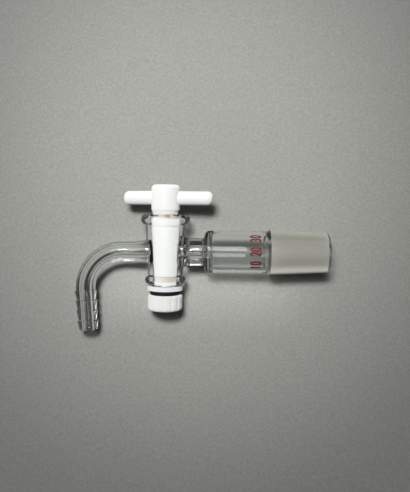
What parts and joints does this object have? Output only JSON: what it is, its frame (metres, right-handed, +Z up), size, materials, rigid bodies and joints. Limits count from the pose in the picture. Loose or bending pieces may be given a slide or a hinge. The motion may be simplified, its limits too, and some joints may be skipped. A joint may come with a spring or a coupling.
{
  "type": "glass stopcock",
  "caption": "Glass stopcock with a ground cone, a bent serrated hose end and a white tapered plug turned by a T handle, held by a washer, a rubber ring and a fluted nut.",
  "frame": {"origin": "centre of the ground cone's wide end, on the flow axis", "axes": "+X along the flow axis, out of the cone's mouth; +Y along the plug's axis, towards the T handle; +Z up as the stopcock lies on a bench"},
  "size_m": [0.131, 0.0758, 0.0254],
  "materials": {
    "clear_glass": "clear and fire-polished, with the cone's ground face frosted",
    "plug_white": "smooth turned fluoropolymer, satin",
    "bar_white": "smooth rod, satin",
    "washer_white": "slightly translucent white, satin",
    "ring_black": "smooth black rubber",
    "nut_white": "moulded, fluted, satin"
  },
  "bodies": {
    "body": {"glass_body": "clear_glass"},
    "plug": {"plug": "plug_white", "handle_bar": "bar_white", "washer": "washer_white"},
    "ring": {"rubber_ring": "ring_black"},
    "nut": {"nut": "nut_white"}
  },
  "joints": [
    {"name": "plug_turn", "type": "hinge", "parent": "body", "child": "plug", "pos_m": [-0.0536, 0, 0], "axis": [0, 1, 0], "continuous": true},
    {"name": "ring_slide", "type": "slide", "parent": "plug", "child": "ring", "axis": [0, -1, 0], "range_m": [0, 0.0045]},
    {"name": "nut_turn", "type": "hinge", "parent": "ring", "child": "nut", "pos_m": [-0.0536, -0.026, 0], "axis": [0, -1, 0], "range_deg": [0, 1080]}
  ],
  "couplings": [
    {"joint": "ring_slide", "follows": "nut_turn", "m_per_rad": 0.00023873}
  ]
}
